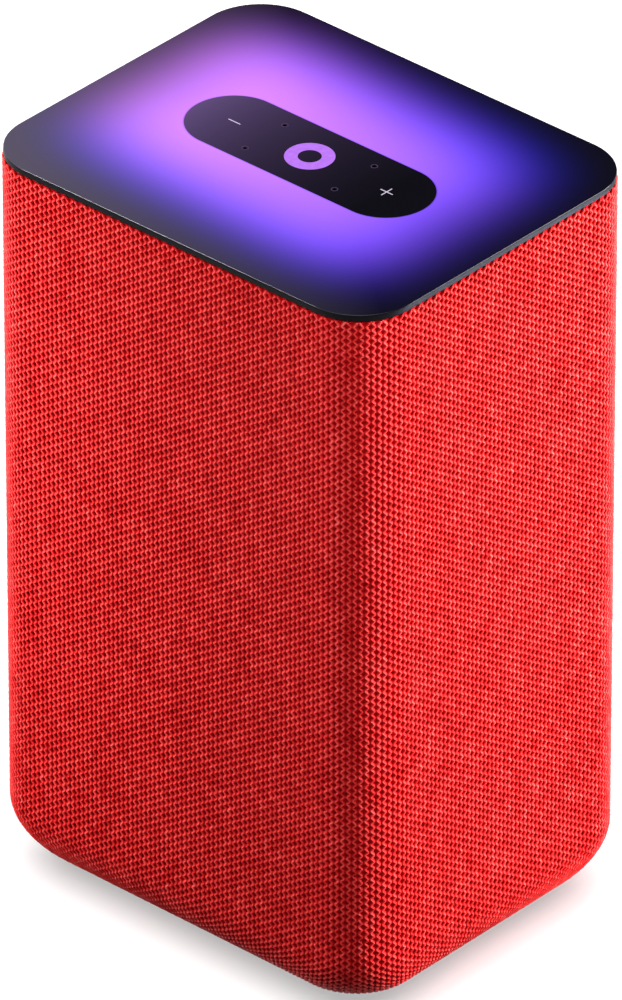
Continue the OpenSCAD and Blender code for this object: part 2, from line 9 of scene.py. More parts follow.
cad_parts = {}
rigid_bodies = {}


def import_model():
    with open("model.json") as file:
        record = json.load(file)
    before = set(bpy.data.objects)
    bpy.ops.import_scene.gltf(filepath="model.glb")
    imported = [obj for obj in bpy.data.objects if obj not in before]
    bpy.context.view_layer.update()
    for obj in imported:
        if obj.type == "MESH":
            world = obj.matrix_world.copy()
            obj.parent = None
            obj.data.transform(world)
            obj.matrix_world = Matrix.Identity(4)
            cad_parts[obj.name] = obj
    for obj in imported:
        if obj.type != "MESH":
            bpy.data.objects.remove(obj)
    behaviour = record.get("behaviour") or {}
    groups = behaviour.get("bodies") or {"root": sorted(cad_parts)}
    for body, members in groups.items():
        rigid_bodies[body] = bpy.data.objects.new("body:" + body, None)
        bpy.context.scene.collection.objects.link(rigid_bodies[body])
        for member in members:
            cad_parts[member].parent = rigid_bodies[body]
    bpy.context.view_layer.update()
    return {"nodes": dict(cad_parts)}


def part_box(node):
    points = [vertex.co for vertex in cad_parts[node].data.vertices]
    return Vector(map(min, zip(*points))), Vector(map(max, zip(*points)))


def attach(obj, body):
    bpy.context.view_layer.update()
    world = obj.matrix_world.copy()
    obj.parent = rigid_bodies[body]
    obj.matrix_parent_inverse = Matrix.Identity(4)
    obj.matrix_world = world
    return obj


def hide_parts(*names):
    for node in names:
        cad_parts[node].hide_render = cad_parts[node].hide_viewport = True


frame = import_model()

MM = 0.001
NODES = frame["nodes"]
RNG = np.random.default_rng(20)

# ---------- sizes, from the CAD where it has them ----------
skin_min, skin_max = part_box("fabric_sleeve")
plate_min, plate_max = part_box("top_plate")
BODY_W = skin_max.x - skin_min.x
BODY_D = skin_max.y - skin_min.y
SKIN_TOP = skin_max.z
# the sleeve's lower edge and its roundings, as in the CAD's source
SKIN_LOW = 0.8 * MM
CORNER_R = 15 * MM
BOTTOM_R = 17.5 * MM
PLATE_TOP = plate_max.z
PLATE_LOW = SKIN_TOP + 0.1 * MM
STRAIGHT_W = BODY_W - 2 * CORNER_R
STRAIGHT_D = BODY_D - 2 * CORNER_R
CORNER_ARC = CORNER_R * math.pi / 2
AROUND = 2 * (STRAIGHT_W + STRAIGHT_D) + 4 * CORNER_ARC
WALL_H = SKIN_TOP - SKIN_LOW - BOTTOM_R
ARC_H = BOTTOM_R * math.pi / 2

# ---------- camera, fitted to the object's outline in the photograph ----------
AZIMUTH, ELEVATION = math.radians(41.91), math.radians(32.28)
TARGET = Vector((0, 0, 0.095))
DISTANCE = 3.582
LENS = 570.24
SHIFT_X, SHIFT_Y = 0.00136, 0.01735
back = Vector((
    math.sin(AZIMUTH) * math.cos(ELEVATION),
    -math.cos(AZIMUTH) * math.cos(ELEVATION),
    math.sin(ELEVATION),
))
camera = bpy.data.objects.new("camera", bpy.data.cameras.new("camera"))
bpy.context.scene.collection.objects.link(camera)
camera.location = TARGET + back * DISTANCE
camera.rotation_euler = back.to_track_quat("Z", "Y").to_euler()
camera.data.sensor_width = 36
camera.data.lens = LENS
camera.data.shift_x, camera.data.shift_y = SHIFT_X, SHIFT_Y
camera.data.clip_end = 50
bpy.context.scene.camera = camera
bpy.context.scene.view_settings.view_transform = "Standard"


# ---------- node helpers ----------
class Tree:
    """Short names for building a material's nodes."""

    def __init__(self, name):
        self.material = bpy.data.materials.new(name)
        self.material.use_nodes = True
        self.nt = self.material.node_tree
        self.shader = self.nt.nodes["Principled BSDF"]
        self.place = self.nt.nodes.new("ShaderNodeTexCoord").outputs["Object"]

    def set(self, **values):
        for key, value in values.items():
            socket = self.shader.inputs[key.replace("_", " ")]
            socket.default_value = (*value, 1) if isinstance(value, tuple) else value

    def join(self, source, socket):
        if isinstance(source, (int, float)):
            socket.default_value = source
        elif isinstance(source, tuple):
            socket.default_value = (*source, 1) if len(socket.default_value) == 4 else source
        else:
            self.nt.links.new(source, socket)

    def math(self, operation, a, b=0.0, c=0.0, clamp=False):
        node = self.nt.nodes.new("ShaderNodeMath")
        node.operation, node.use_clamp = operation, clamp
        for value, socket in zip((a, b, c), node.inputs):
            self.join(value, socket)
        return node.outputs[0]

    def scaled(self, scale):
        node = self.nt.nodes.new("ShaderNodeMapping")
        self.nt.links.new(self.place, node.inputs["Vector"])
        node.inputs["Scale"].default_value = scale
        return node.outputs[0]

    def noise(self, scale, detail=2.0, vector=None, roughness=0.5):
        node = self.nt.nodes.new("ShaderNodeTexNoise")
        node.inputs["Scale"].default_value = scale
        node.inputs["Detail"].default_value = detail
        node.inputs["Roughness"].default_value = roughness
        self.nt.links.new(vector or self.place, node.inputs["Vector"])
        return node.outputs["Fac"]

    def ramp(self, factor, *stops):
        node = self.nt.nodes.new("ShaderNodeValToRGB")
        elements = node.color_ramp.elements
        while len(elements) < len(stops):
            elements.new(0.5)
        for element, (position, colour) in zip(elements, stops):
            element.position = position
            element.color = (*colour, 1)
        self.nt.links.new(factor, node.inputs[0])
        return node.outputs[0]

    def combine(self, x, y, z):
        node = self.nt.nodes.new("ShaderNodeCombineXYZ")
        for value, socket in zip((x, y, z), node.inputs):
            self.join(value, socket)
        return node.outputs[0]

    def bump(self, height, strength, distance):
        node = self.nt.nodes.new("ShaderNodeBump")
        node.inputs["Strength"].default_value = strength
        node.inputs["Distance"].default_value = distance
        self.nt.links.new(height, node.inputs["Height"])
        self.nt.links.new(node.outputs[0], self.shader.inputs["Normal"])

    def attribute(self, name):
        node = self.nt.nodes.new("ShaderNodeAttribute")
        node.attribute_name = name
        return node.outputs["Fac"]


def moulded(name, colour, roughness=0.5, metallic=0.0, grain=9000, depth=0.02, spread=0.25,
            specular=0.5):
    """Plastic, rubber, metal or board: a fine grain, with slight patches of colour and gloss."""
    t = Tree(name)
    t.set(Metallic=metallic, Specular_IOR_Level=specular)
    patches = t.noise(55, 3)
    dark = tuple(c * (1 - spread) for c in colour)
    light = tuple(min(c * (1 + spread), 1) for c in colour)
    t.join(t.ramp(patches, (0.3, dark), (0.7, light)), t.shader.inputs["Base Color"])
    fine = t.noise(grain, 2)
    rough = t.math("MULTIPLY_ADD", t.noise(300, 3), 0.16, roughness - 0.08, clamp=True)
    t.join(rough, t.shader.inputs["Roughness"])
    t.bump(fine, 0.35, depth * MM)
    return t.material


def paint(ob, *materials):
    """Gives an object these materials and no others."""
    ob.data.materials.clear()
    for material in materials:
        ob.data.materials.append(material)


# ---------- meshes ----------
def mesh_object(name, points, faces, sides=4, smooth=True):
    """An object from an array of points and an array of faces that all have the same sides."""
    me = bpy.data.meshes.new(name)
    faces = np.asarray(faces, np.int32)
    me.vertices.add(len(points))
    me.vertices.foreach_set("co", np.asarray(points, np.float32).ravel())
    me.loops.add(faces.size)
    me.loops.foreach_set("vertex_index", faces.ravel())
    me.polygons.add(len(faces))
    me.polygons.foreach_set("loop_start", np.arange(0, faces.size, sides, dtype=np.int32))
    me.update(calc_edges=True)
    me.polygons.foreach_set("use_smooth", np.full(len(faces), smooth))
    ob = bpy.data.objects.new(name, me)
    bpy.context.scene.collection.objects.link(ob)
    return ob


def on_body(s, w, depth):
    """Points at s round the body, w down from the sleeve's top edge and depth under its face."""
    s = np.mod(s, AROUND)
    angle = np.pi / 2 - np.clip(w - WALL_H, 0, None) / BOTTOM_R
    reach = (BOTTOM_R - depth) * np.sin(angle)
    z = np.where(
        w < WALL_H, SKIN_TOP - w, SKIN_LOW + BOTTOM_R - (BOTTOM_R - depth) * np.cos(angle)
    )
    r = CORNER_R - depth * np.sin(angle)
    cx = BODY_W / 2 - BOTTOM_R + reach - r
    cy = BODY_D / 2 - BOTTOM_R + reach - r
    spans = np.array([STRAIGHT_W, CORNER_ARC, STRAIGHT_D, CORNER_ARC] * 2)
    starts = np.concatenate([[0], np.cumsum(spans)[:-1]])
    k = np.clip(np.searchsorted(starts, s, side="right") - 1, 0, 7)
    f = (s - starts[k]) / spans[k]
    quarter = k // 2
    turn = (quarter - 1 + np.where(k % 2 == 1, f, 0)) * np.pi / 2
    # the centre of the corner that ends each side, and the one that it starts from
    sx = np.array([1, 1, -1, -1])[quarter]
    sy = np.array([-1, 1, 1, -1])[quarter]
    px = np.array([-1, 1, 1, -1])[quarter]
    py = np.array([-1, -1, 1, 1])[quarter]
    g = np.where(k % 2 == 1, 1.0, f)
    x = cx * (px + (sx - px) * g) + r * np.cos(turn)
    y = cy * (py + (sy - py) * g) + r * np.sin(turn)
    return np.stack([x, y, z], -1)


# ---------- knit ----------
# The columns' spacing (about 1.37 mm) and the rows' were measured in the photograph, at the
# model's scale. The number of columns is the distance round by that spacing, not a count.
COLUMNS = 288
BANDS = 12
ROW = 1.83 * MM
PITCH = AROUND / COLUMNS
# how far a yarn swings to each side of its middle
SWING = 0.34 * MM
# round one yarn: mm across, mm deep and how light its colour is painted, a painted highlight on the
# crest and painted shade down to the feet and underside
YARN_SHAPE = [
    (0, 0.06, 1.1), (0.11, 0.13, 0.55), (0.64, 0.46, 0.1), (0, 0.7, 0), (-0.64, 0.46, 0.1),
    (-0.11, 0.13, 0.55),
]
# a point further than this from the yarn's middle is one of its feet (mm)
YARN_FOOT = 0.3
BRIDGE_R = 0.3 * MM
LINK_DEPTH = 0.5 * MM
YARN_JITTER, LINK_JITTER = 0.02 * MM, 0.015 * MM
# how far yarns and links stay from the rear opening
YARN_MARGIN, LINK_MARGIN = 0.35 * MM, 0.6 * MM
# how much of a stitch's tint is its own tone, and how much is painted highlight and shade from its
# shape
OWN_TINT, PAINTED_SHADING_SHARE = 0.4, 0.6
TOP_GAP = 0.15 * MM
KNIT_LENGTH = WALL_H + ARC_H - 1.0 * MM
panel_min, panel_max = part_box("rear_panel")
OPEN_W = 20.4 * MM
OPEN_H = 50.4 * MM
OPEN_Z = (panel_min.z + panel_max.z) / 2
BACK_MIDDLE = STRAIGHT_W + 2 * CORNER_ARC + STRAIGHT_D + STRAIGHT_W / 2
HEM_R = 0.5 * MM
# how deep the hems' middles lie, and how far outside the opening the rear hem's does
HEM_DEPTH, REAR_HEM_DEPTH = 0.55 * MM, 0.6 * MM
HEM_OUT = 0.55 * MM
HEM_STEPS = 240
OPENING_STEPS = 120
# the lining's outer and inner face under the sleeve's face, and its top and bottom edges
LINING_OUTER, LINING_INNER = 0.72 * MM, 1.05 * MM
LINING_TOP = 0.3 * MM
LINING_SHORT = 1.2 * MM
LINING_COLUMNS = 240


def opening_reach(s, margin):
    """How far above and below its middle the rear opening is at s, or 0 where it isn't there."""
    off = abs(s - BACK_MIDDLE)
    r = OPEN_W / 2 + margin
    if off >= r:
        return 0.0
    return (OPEN_H - OPEN_W) / 2 + math.sqrt(r * r - off * off)


def knit_band(name, first, count):
    """The zigzag yarns between two columns of holes."""
    points, quads, tones_and_painted_shading, uv = [], [], [], []
    total = 0
    sides = len(YARN_SHAPE)
    for c in range(first, first + count):
        sign = 1 if c % 2 == 0 else -1
        s0 = (c + 0.5) * PITCH
        # a plateau beside each hole: two points a plateau
        n = int((KNIT_LENGTH - TOP_GAP) / (ROW / 4))
        i = np.arange(n)
        w = TOP_GAP + i * ROW / 4
        phase = (i // 2) % 2
        w = w + np.where(i % 2 == 0, 0.06, -0.06) * ROW
        swing = np.where(phase == 0, 1.0, -1.0) * sign
        s = s0 + SWING * swing + RNG.normal(0, YARN_JITTER, n)
        depth = RNG.normal(0, YARN_JITTER, n) + 0.03 * MM * np.where(i % 2 == 0, 1, -1)
        tint = np.repeat(RNG.normal(0.5, 0.2, n // 4 + 1), 4)[:n]
        parts = [np.arange(n)]
        cut = opening_reach(s0, YARN_MARGIN)
        if cut:
            z = SKIN_TOP - w
            parts = [np.where(z > OPEN_Z + cut)[0], np.where(z < OPEN_Z - cut)[0]]
        for part in parts:
            if len(part) < 4:
                continue
            ps, pw, pd, pt = s[part], w[part], depth[part], tint[part]
            slope = np.gradient(ps) / np.gradient(pw)
            length = np.sqrt(1 + slope * slope)
            m = len(part)
            rings = []
            for side, deep, _ in YARN_SHAPE:
                # the feet spread straight across, so that they don't fold over in the bends
                square = abs(side) < YARN_FOOT
                across = side * MM / (length if square else 1.0)
                along = across * slope if square else 0.0
                rings.append(on_body(ps + across, pw - along, pd + deep * MM))
            ring = np.stack(rings, 1)  # (m, sides, 3)
            points.append(ring.reshape(-1, 3))
            # a painted highlight on each yarn's crest, painted shade down its sides to its feet and
            # underside
            light = np.tile([painted_lightness for *_, painted_lightness in YARN_SHAPE], m)
            tones_and_painted_shading.append(OWN_TINT * np.repeat(pt, sides) + PAINTED_SHADING_SHARE * light)
            j = np.arange(m - 1)[:, None] * sides
            k = np.arange(sides)[None, :]
            k2 = (k + 1) % sides
            q = np.stack([j + k, j + sides + k, j + sides + k2, j + k2], -1).reshape(-1, 4)
            end = (m - 1) * sides
            caps = np.array([
                [0, 1, 2, 3], [0, 3, 4, 5],
                [end + 3, end + 2, end + 1, end], [end + 5, end + 4, end + 3, end],
            ])
            quads.append(np.concatenate([q, caps]) + total)
            column = (c - first) / count
            step = 0.94 / (sides * count)
            u = column + np.tile(np.arange(sides), (m - 1, 1)).ravel() * step
            v = np.repeat(pw[:-1] / KNIT_LENGTH, sides)
            dv = np.repeat(np.diff(pw) / KNIT_LENGTH, sides)
            du = 0.9 * step
            cell = np.stack([
                np.stack([u, v], -1), np.stack([u, v + dv], -1),
                np.stack([u + du, v + dv], -1), np.stack([u + du, v], -1)
            ], 1)
            cap_uv = np.tile(cell[:1], (len(caps), 1, 1))
            uv.append(np.concatenate([cell, cap_uv]).reshape(-1, 2))
            total += m * sides
    yarns = mesh_object(name, np.concatenate(points), np.concatenate(quads))
    yarns.data.attributes.new("tint", "FLOAT", "POINT").data.foreach_set(
        "value", np.concatenate(tones_and_painted_shading).astype(np.float32)
    )
    layer = yarns.data.uv_layers.new(name="OFBake")
    layer.data.foreach_set("uv", np.concatenate(uv).astype(np.float32).ravel() * 0.98 + 0.01)
    return yarns


def knit_links(name, first, count):
    """Short links between neighbouring yarns, above and below each hole."""
    points, tris, tones_and_painted_shading, uv = [], [], [], []
    total = 0
    for c in range(first, first + count):
        start = 0.5 if c % 2 == 0 else 0.0
        n = int((KNIT_LENGTH - TOP_GAP) / ROW - start)
        j = np.arange(n) + start
        # the row where the yarns on both sides of this column lean in
        w = TOP_GAP + ROW / 8 + j * ROW
        s = np.full(n, c * PITCH) + RNG.normal(0, LINK_JITTER, n)
        half = PITCH / 2 - SWING
        tint = RNG.normal(0.5, 0.2, n)
        keep = np.ones(n, bool)
        cut = opening_reach(c * PITCH, LINK_MARGIN)
        if cut:
            keep = np.abs(SKIN_TOP - w - OPEN_Z) > cut
        w, s, tint = w[keep], s[keep], tint[keep]
        n = len(w)
        ends = []
        for side in (-1, 1):
            for dw, dd in ((-1.3, 0.8), (0, -0.8), (1.3, 0.8)):
                ends.append(on_body(
                    s + side * half, w + dw * BRIDGE_R, np.full(n, LINK_DEPTH) + dd * BRIDGE_R
                ))
        block = np.stack(ends, 1)
        points.append(block.reshape(-1, 3))
        # a painted highlight on each link's outer edge, painted shade on its two deeper edges
        light = np.tile([0.0, 0.7, 0.0], 2 * n)
        tones_and_painted_shading.append(OWN_TINT * np.repeat(tint, 6) + PAINTED_SHADING_SHARE * light)
        one = np.array([
            [0, 4, 3], [0, 1, 4], [1, 5, 4], [1, 2, 5], [2, 3, 5], [2, 0, 3], [0, 2, 1], [3, 4, 5]
        ])
        tris.append((one[None] + (np.arange(n) * 6)[:, None, None]).reshape(-1, 3) + total)
        u = (c - first) / count
        v = w / KNIT_LENGTH
        corner = np.array([[0, 0], [0.8, 0], [0.8, 0.5]])
        face_uv = np.tile(corner[None], (len(one), 1, 1))
        cell = np.stack([u + face_uv[..., 0] / count, face_uv[..., 1] * ROW / KNIT_LENGTH], -1)
        uv.append((cell[None] + np.stack([np.zeros(n), v], -1)[:, None, None]).reshape(-1, 2))
        total += 6 * n
    links = mesh_object(name, np.concatenate(points), np.concatenate(tris), sides=3)
    links.data.attributes.new("tint", "FLOAT", "POINT").data.foreach_set(
        "value", np.concatenate(tones_and_painted_shading).astype(np.float32)
    )
    layer = links.data.uv_layers.new(name="OFBake")
    layer.data.foreach_set("uv", np.concatenate(uv).astype(np.float32).ravel() * 0.97 + 0.01)
    return links


def round_tube(name, path, radius, sides=8):
    """A closed round tube along an array of points."""
    path = np.asarray(path, float)
    n = len(path)
    ahead = np.roll(path, -1, 0) - np.roll(path, 1, 0)
    ahead /= np.linalg.norm(ahead, axis=1)[:, None]
    centre = path.mean(0)
    out = path - centre
    out -= (out * ahead).sum(1)[:, None] * ahead
    out /= np.linalg.norm(out, axis=1)[:, None]
    other = np.cross(ahead, out)
    a = 2 * np.pi * np.arange(sides) / sides
    ring = path[:, None] + radius * (
        np.cos(a)[None, :, None] * out[:, None] + np.sin(a)[None, :, None] * other[:, None]
    )
    j = np.arange(n)[:, None] * sides
    j2 = (np.arange(n)[:, None] + 1) % n * sides
    k = np.arange(sides)[None, :]
    k2 = (k + 1) % sides
    quads = np.stack([j + k, j + k2, j2 + k2, j2 + k], -1).reshape(-1, 4)
    return mesh_object(name, ring.reshape(-1, 3), quads)


def yarn_material():
    """Red yarn: the tint attribute paints a highlight along its crest and shade down its sides,
    besides each stitch's own tone; fine streaks stand for its fibres.
    """
    t = Tree("knit_yarn")
    t.set(Specular_IOR_Level=0.15, Sheen_Weight=0.04, Sheen_Roughness=0.5)
    t.shader.inputs["Sheen Tint"].default_value = (1.0, 0.45, 0.4, 1)
    fibre = t.noise(1.0, 3, t.scaled((7000, 7000, 1600)))
    patch = t.noise(140, 2)
    value = t.math("ADD", t.math("MULTIPLY", fibre, 0.3), t.math("MULTIPLY", patch, 0.15))
    value = t.math("ADD", value, t.math("MULTIPLY", t.attribute("tint"), 0.65))
    # dark end: painted shade on the yarn's feet; pale pink top: a painted highlight of sheen on its
    # crest
    colour = t.ramp(
        value, (0.2, (0.26, 0.001, 0.002)), (0.45, (0.62, 0.004, 0.006)),
        (0.62, (0.86, 0.024, 0.024)), (0.85, (1.0, 0.13, 0.12))
    )
    t.join(colour, t.shader.inputs["Base Color"])
    t.join(t.math("MULTIPLY_ADD", fibre, 0.3, 0.32), t.shader.inputs["Roughness"])
    t.bump(fibre, 0.5, 0.05 * MM)
    return t.material


def link_material():
    """The links and hems: the same red, darker; on the links, which lie deep between the yarns, the
    darker red is painted shade.
    """
    t = Tree("knit_link")
    t.set(Specular_IOR_Level=0.25, Roughness=0.6)
    fibre = t.noise(1.0, 3, t.scaled((2500, 2500, 6000)))
    value = t.math(
        "ADD", t.math("MULTIPLY", fibre, 0.6), t.math("MULTIPLY", t.attribute("tint"), 0.4)
    )
    colour = t.ramp(value, (0.3, (0.30, 0.001, 0.002)), (0.8, (0.72, 0.008, 0.010)))
    t.join(colour, t.shader.inputs["Base Color"])
    t.bump(fibre, 0.4, 0.04 * MM)
    return t.material


def lining_material():
    """The cloth seen through the knit's holes."""
    t = Tree("knit_lining")
    t.set(Specular_IOR_Level=0.05, Roughness=0.9)
    colour = t.ramp(t.noise(2600, 3), (0.3, (0.56, 0.002, 0.005)), (0.75, (0.86, 0.005, 0.010)))
    t.join(colour, t.shader.inputs["Base Color"])
    t.bump(t.noise(5000, 2), 0.4, 0.05 * MM)
    return t.material


YARN = yarn_material()
LINK = link_material()
LINING = lining_material()

knit = []
per_band = COLUMNS // BANDS
for b in range(BANDS):
    band = knit_band(f"knit_yarns_{b + 1:02d}", b * per_band, per_band)
    band.data.materials.append(YARN)
    knit.append(band)
for b in range(2):
    half = COLUMNS // 2
    links = knit_links(f"knit_links_{b + 1}", b * half, half)
    links.data.materials.append(LINK)
    knit.append(links)

# hems: round the base and round the rear opening
around = np.arange(HEM_STEPS) * AROUND / HEM_STEPS
base_hem = round_tube(
    "knit_base_hem",
    on_body(
        around, np.full(HEM_STEPS, KNIT_LENGTH + 0.1 * MM), np.full(HEM_STEPS, HEM_DEPTH)
    ),
    HEM_R,
)
angles = 2 * np.pi * np.arange(OPENING_STEPS) / OPENING_STEPS
flat_x = (OPEN_W / 2 + HEM_OUT) * np.cos(angles)
flat_z = (OPEN_W / 2 + HEM_OUT) * np.sin(angles)
flat_z += np.sign(np.round(np.sin(angles), 6)) * (OPEN_H - OPEN_W) / 2
rear_hem = round_tube(
    "knit_rear_hem",
    np.stack(
        [flat_x, np.full(OPENING_STEPS, BODY_D / 2 - REAR_HEM_DEPTH), OPEN_Z + flat_z], -1
    ),
    HEM_R,
)
for hem in (base_hem, rear_hem):
    hem.data.materials.append(LINK)
    hem.data.attributes.new("tint", "FLOAT", "POINT").data.foreach_set(
        "value", RNG.normal(0.5, 0.15, len(hem.data.vertices)).astype(np.float32)
    )
    knit.append(hem)


def apply_modifier(ob, modifier):
    """Leaves the shown shape in the mesh, with its faces turned outwards."""
    if modifier is not None:
        done = bpy.data.meshes.new_from_object(
            ob.evaluated_get(bpy.context.evaluated_depsgraph_get())
        )
        ob.modifiers.clear()
        ob.data = done
    bm = bmesh.new()
    bm.from_mesh(ob.data)
    bmesh.ops.recalc_face_normals(bm, faces=bm.faces)
    bm.to_mesh(ob.data)
    bm.free()


def lining():
    """The thin red cloth behind the open knit, with the rear opening cut out."""
    columns = LINING_COLUMNS
    s = np.arange(columns) * AROUND / columns
    w = np.concatenate([
        np.linspace(LINING_TOP, WALL_H, 20),
        WALL_H + np.linspace(0, ARC_H - LINING_SHORT, 12)[1:],
    ])
    rows = len(w)
    outer, inner = (
        on_body(
            s[None].repeat(rows, 0), w[:, None].repeat(columns, 1),
            np.full((rows, columns), depth)
        )
        for depth in (LINING_OUTER, LINING_INNER)
    )
    points = np.concatenate([outer.reshape(-1, 3), inner.reshape(-1, 3)])
    quads = []
    shift = rows * columns
    for r in range(rows - 1):
        for c in range(columns):
            c2 = (c + 1) % columns
            a, b = r * columns + c, r * columns + c2
            quads.append((a, a + columns, b + columns, b))
            quads.append((a + shift, b + shift, b + columns + shift, a + columns + shift))
    for c in range(columns):
        c2 = (c + 1) % columns
        quads.append((c, c2, c2 + shift, c + shift))
        last = (rows - 1) * columns
        quads.append((last + c, last + c + shift, last + c2 + shift, last + c2))
    ob = mesh_object("knit_lining", points, quads)
    # cut the rear opening with an oval block
    cutter_points = []
    for y in (BODY_D / 2 - 6 * MM, BODY_D / 2 + 2 * MM):
        cutter_points += [(x, y, OPEN_Z + z) for x, z in zip(flat_x * 0.99, flat_z * 0.995)]
    me = bpy.data.meshes.new("cutter")
    n = OPENING_STEPS
    me.from_pydata(
        cutter_points, [],
        [tuple(range(n)), tuple(range(2 * n - 1, n - 1, -1))]
        + [(i, n + i, n + (i + 1) % n, (i + 1) % n) for i in range(n)],
    )
    cutter = bpy.data.objects.new("cutter", me)
    bpy.context.scene.collection.objects.link(cutter)
    apply_modifier(cutter, None)
    cut = ob.modifiers.new("cut", "BOOLEAN")
    cut.operation, cut.object, cut.solver = "DIFFERENCE", cutter, "EXACT"
    apply_modifier(ob, cut)
    bpy.data.objects.remove(cutter)
    return ob


ground = lining()
paint(ground, LINING)
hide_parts("fabric_sleeve")
for piece in [ground] + knit:
    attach(piece, "chassis")


# ---------- top plate ----------
PLATE_CORNER_R = 14.7 * MM
PLATE_BEVEL = 0.22 * MM
# the dark oval touch area
PILL_W = 68 * MM
PILL_H = 22.6 * MM
PILL_AT = (-0.2 * MM, 0.25 * MM)
RING_OUT = 5.75 * MM
RING_IN = 2.7 * MM
# how far the oval stands above the plate's face; the marks stand twice as far
INLAY = 0.02 * MM
MARK_LOW, MARK_HIGH = PLATE_TOP - 0.1 * MM, PLATE_TOP + 2 * INLAY
MARK_X, MARK_Y = 22.8 * MM, 0.2 * MM
# length and width of the bars of the minus and the plus
BAR = (3.6 * MM, 0.25 * MM)
MIC_X, MIC_Y = 13.4 * MM, 6.65 * MM
MIC_R = 0.6 * MM
RIM_OUT, RIM_IN = 0.84 * MM, 0.62 * MM
PILL_STEPS = 96


def loop_rounded(w, d, r, steps=24):
    """The outline of a rounded rectangle round the origin."""
    out = []
    for sx, sy, a0 in ((1, 1, 0), (-1, 1, 90), (-1, -1, 180), (1, -1, 270)):
        for i in range(steps + 1):
            a = math.radians(a0 + 90 * i / steps)
            out.append((sx * (w / 2 - r) + r * math.cos(a), sy * (d / 2 - r) + r * math.sin(a)))
    return out


def loop_round(x, y, r, steps=48):
    """The outline of a circle."""
    return [
        (x + r * math.cos(2 * math.pi * i / steps), y + r * math.sin(2 * math.pi * i / steps))
        for i in range(steps)
    ]


def flat_piece(name, loops, low, high, bevel=0.0, resolution=3):
    """A flat piece between two heights from closed loops, with holes and rounded edges."""
    curve = bpy.data.curves.new(name, "CURVE")
    curve.dimensions, curve.fill_mode = "2D", "BOTH"
    for loop in loops:
        spline = curve.splines.new("POLY")
        spline.points.add(len(loop) - 1)
        for point, (x, y) in zip(spline.points, loop):
            point.co = (x, y, 0, 1)
        spline.use_cyclic_u = True
    curve.extrude = (high - low) / 2 - bevel
    curve.bevel_depth, curve.bevel_resolution, curve.offset = bevel, resolution, -bevel
    shape = bpy.data.objects.new("shape", curve)
    bpy.context.scene.collection.objects.link(shape)
    me = bpy.data.meshes.new_from_object(
        shape.evaluated_get(bpy.context.evaluated_depsgraph_get())
    )
    bpy.data.objects.remove(shape)
    ob = bpy.data.objects.new(name, me)
    me.transform(Matrix.Translation((0, 0, (low + high) / 2)))
    bpy.context.scene.collection.objects.link(ob)
    bm = bmesh.new()
    bm.from_mesh(me)
    bmesh.ops.remove_doubles(bm, verts=bm.verts, dist=0.002 * MM)
    bmesh.ops.recalc_face_normals(bm, faces=bm.faces)
    bm.to_mesh(me)
    bm.free()
    me.polygons.foreach_set("use_smooth", np.full(len(me.polygons), True))
    me.set_sharp_from_angle(angle=math.radians(35))
    return ob


PLATE_W = plate_max.x - plate_min.x
PLATE_D = plate_max.y - plate_min.y
MIC_SPOTS = [(sx * MIC_X, sy * MIC_Y) for sx in (-1, 1) for sy in (-1, 1)]
mic_loops = [loop_round(x, y, MIC_R, 24) for x, y in MIC_SPOTS]
plate = flat_piece(
    "plate_slab", [loop_rounded(PLATE_W, PLATE_D, PLATE_CORNER_R)] + mic_loops,
    PLATE_LOW, PLATE_TOP, bevel=PLATE_BEVEL
)


def glow(t):
    """The light that shows through the plate: pink on the left, violet, then blue at the edges.

    Distances are in mm. Red and blue each fall off from a middle line, and red falls sooner.
    """
    node = t.nt.nodes.new("ShaderNodeSeparateXYZ")
    t.nt.links.new(t.place, node.inputs[0])
    x = t.math("DIVIDE", node.outputs[0], MM)
    y = t.math("DIVIDE", node.outputs[1], MM)
    z = t.math("DIVIDE", node.outputs[2], MM)

    def fall(value, middle, reach, power):
        off = t.math("ABSOLUTE", t.math("SUBTRACT", value, middle))
        return t.math("POWER", t.math("DIVIDE", off, reach), power)

    def spread(x_fall, y_fall):
        return t.math("EXPONENT", t.math("MULTIPLY", t.math("ADD", x_fall, y_fall), -1))

    side = fall(x, -2.5, 44, 4.5)
    blue_middle = t.math("MULTIPLY_ADD", x, -0.04, 0.5)
    blue = t.math("MULTIPLY", spread(side, fall(y, blue_middle, 32.5, 4)), 1.6)
    pinker = t.math("MULTIPLY_ADD", x, -0.0075, 0.62)
    red = spread(side, fall(y, t.math("MULTIPLY_ADD", x, -0.09, 1.0), 28.2, 3.4))
    red = t.math("MULTIPLY", red, pinker)
    green = t.math("ADD", t.math("MULTIPLY", blue, 0.025), t.math("MULTIPLY", red, 0.27))
    # a painted reflection: a faint grey sheen over the near left corner
    painted_reflection = t.math("MULTIPLY_ADD", x, -0.0009, 0.008)
    painted_reflection = t.math("MAXIMUM", t.math("MULTIPLY_ADD", y, -0.0011, painted_reflection), 0.0)
    r = t.math("ADD", red, painted_reflection)
    g = t.math("ADD", green, t.math("MULTIPLY", painted_reflection, 0.85))
    b = t.math("ADD", blue, t.math("MULTIPLY", painted_reflection, 1.2))
    # only the top face is lit, and not under the dark oval
    lit = t.math("DIVIDE", t.math("SUBTRACT", z, PLATE_TOP / MM - 0.3), 0.25, clamp=True)
    along = t.math("MAXIMUM", t.math(
        "SUBTRACT", t.math("ABSOLUTE", t.math("SUBTRACT", x, PILL_AT[0] / MM)),
        (PILL_W - PILL_H) / 2 / MM), 0)
    across = t.math("SUBTRACT", y, PILL_AT[1] / MM)
    reach = t.math("SQRT", t.math(
        "ADD", t.math("MULTIPLY", along, along), t.math("MULTIPLY", across, across)))
    outside = t.math("SUBTRACT", reach, PILL_H / 2 / MM - 0.6, clamp=True)
    lit = t.math("MULTIPLY", lit, outside)
    return t.combine(*(t.math("MULTIPLY", c, lit) for c in (r, g, b))), x, lit


